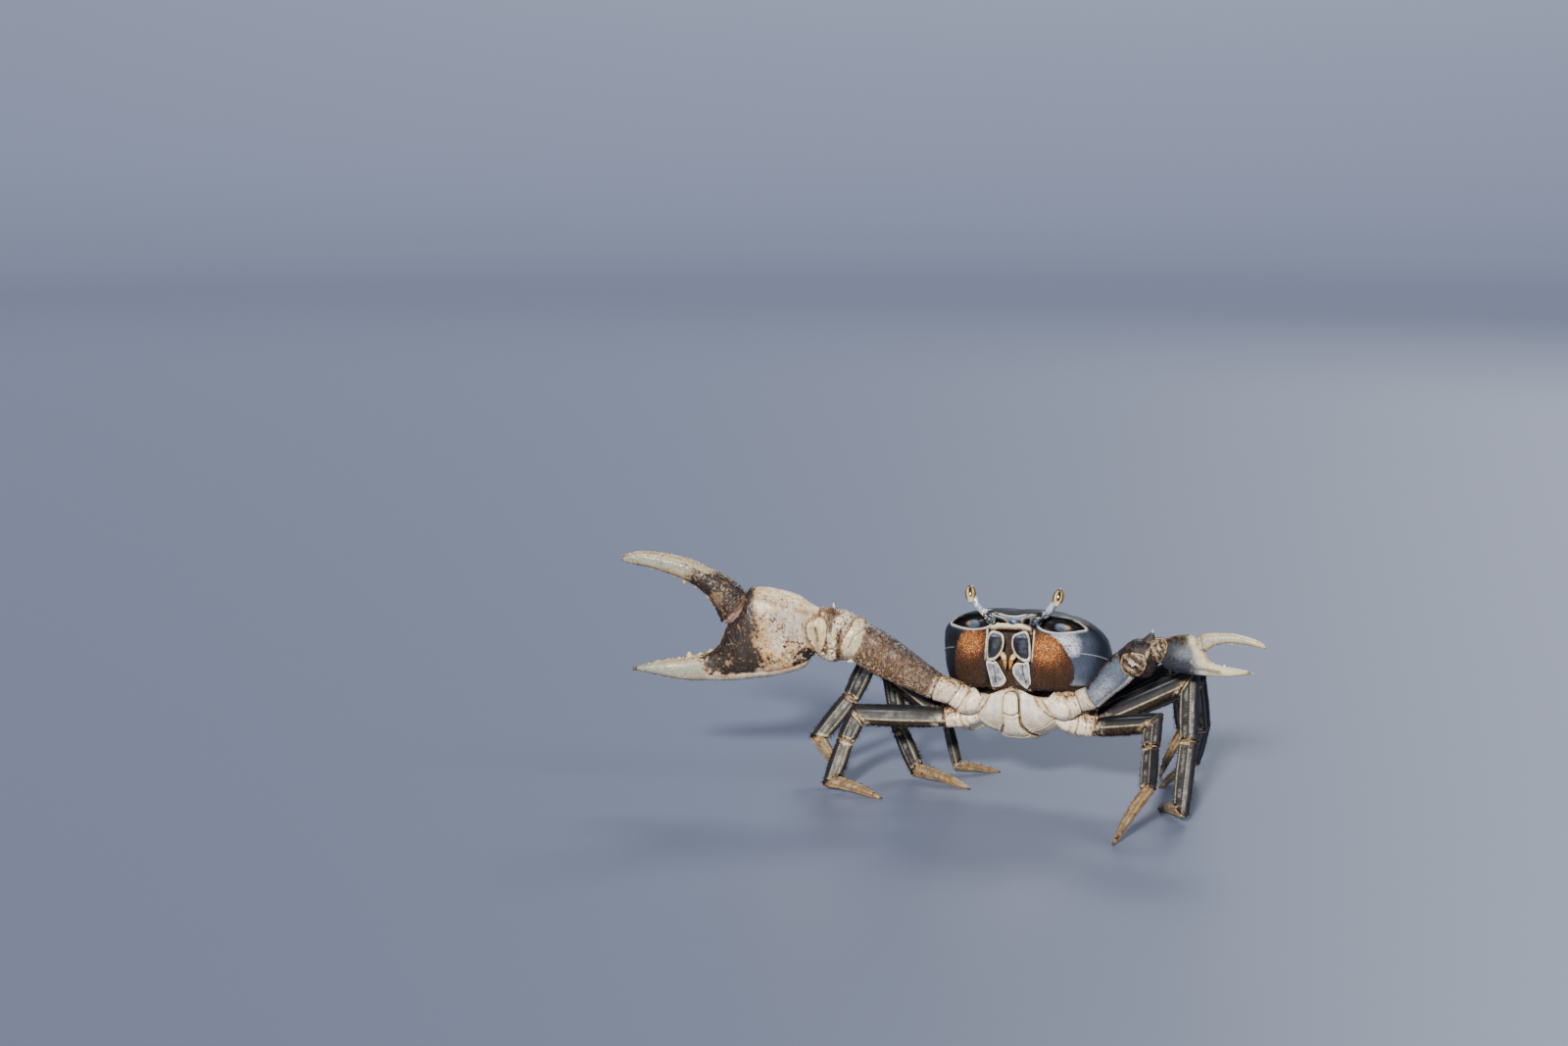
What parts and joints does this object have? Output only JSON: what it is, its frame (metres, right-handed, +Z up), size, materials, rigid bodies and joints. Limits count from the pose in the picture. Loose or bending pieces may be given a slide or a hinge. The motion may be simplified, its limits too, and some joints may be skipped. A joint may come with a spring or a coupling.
{
  "type": "blue land crab",
  "caption": "Still life-size model of a blue land crab standing high on its legs, body tilted back, large right claw held out wide open, small left claw bent.",
  "frame": {"origin": "on the floor, under the middle of the whole crab's box", "axes": "+Z up; the crab faces -Y, turned a little towards -X; its left side is at +X and its large right claw at -X"},
  "size_m": [0.3503, 0.1701, 0.1353],
  "materials": {
    "slate_shell": "smooth slate-blue crab shell with a satin gloss",
    "ivory_shell": "ivory shell of the underside and the large claw, stained brown at its edges",
    "brown_shell": "rough mottled brown arm shell",
    "mouth_plate": "pale blue-grey mouth plates with cream rims",
    "horn_tip": "horn-coloured fingers and leg tips",
    "cornea": "glossy amber eye with a dark core"
  },
  "bodies": {
    "root": {"carapace": "slate_shell", "eyestalk_l": "slate_shell", "eyestalk_r": "slate_shell", "antenna_l": "slate_shell", "antenna_r": "slate_shell", "sternum": "ivory_shell", "abdomen": "ivory_shell", "maxilliped_l": "mouth_plate", "eye_l": "cornea", "claw_l_ischium": "ivory_shell", "claw_l_merus": "brown_shell", "claw_l_carpus": "ivory_shell", "claw_l_palm": "ivory_shell", "claw_l_finger": "horn_tip", "maxilliped_r": "mouth_plate", "eye_r": "cornea", "claw_r_ischium": "ivory_shell", "claw_r_merus": "brown_shell", "claw_r_carpus": "ivory_shell", "claw_r_palm": "ivory_shell", "claw_r_finger": "horn_tip", "leg_r1_merus": "slate_shell", "leg_r1_carpus": "slate_shell", "leg_r1_propodus": "slate_shell", "leg_r1_dactyl": "horn_tip", "leg_r2_merus": "slate_shell", "leg_r2_carpus": "slate_shell", "leg_r2_propodus": "slate_shell", "leg_r2_dactyl": "horn_tip", "leg_r3_merus": "slate_shell", "leg_r3_carpus": "slate_shell", "leg_r3_propodus": "slate_shell", "leg_r3_dactyl": "horn_tip", "leg_r4_merus": "slate_shell", "leg_r4_carpus": "slate_shell", "leg_r4_propodus": "slate_shell", "leg_r4_dactyl": "horn_tip", "leg_l1_merus": "slate_shell", "leg_l1_carpus": "slate_shell", "leg_l1_propodus": "slate_shell", "leg_l1_dactyl": "horn_tip", "leg_l2_merus": "slate_shell", "leg_l2_carpus": "slate_shell", "leg_l2_propodus": "slate_shell", "leg_l2_dactyl": "horn_tip", "leg_l3_merus": "slate_shell", "leg_l3_carpus": "slate_shell", "leg_l3_propodus": "slate_shell", "leg_l3_dactyl": "horn_tip", "leg_l4_merus": "slate_shell", "leg_l4_carpus": "slate_shell", "leg_l4_propodus": "slate_shell", "leg_l4_dactyl": "horn_tip"}
  },
  "joints": []
}
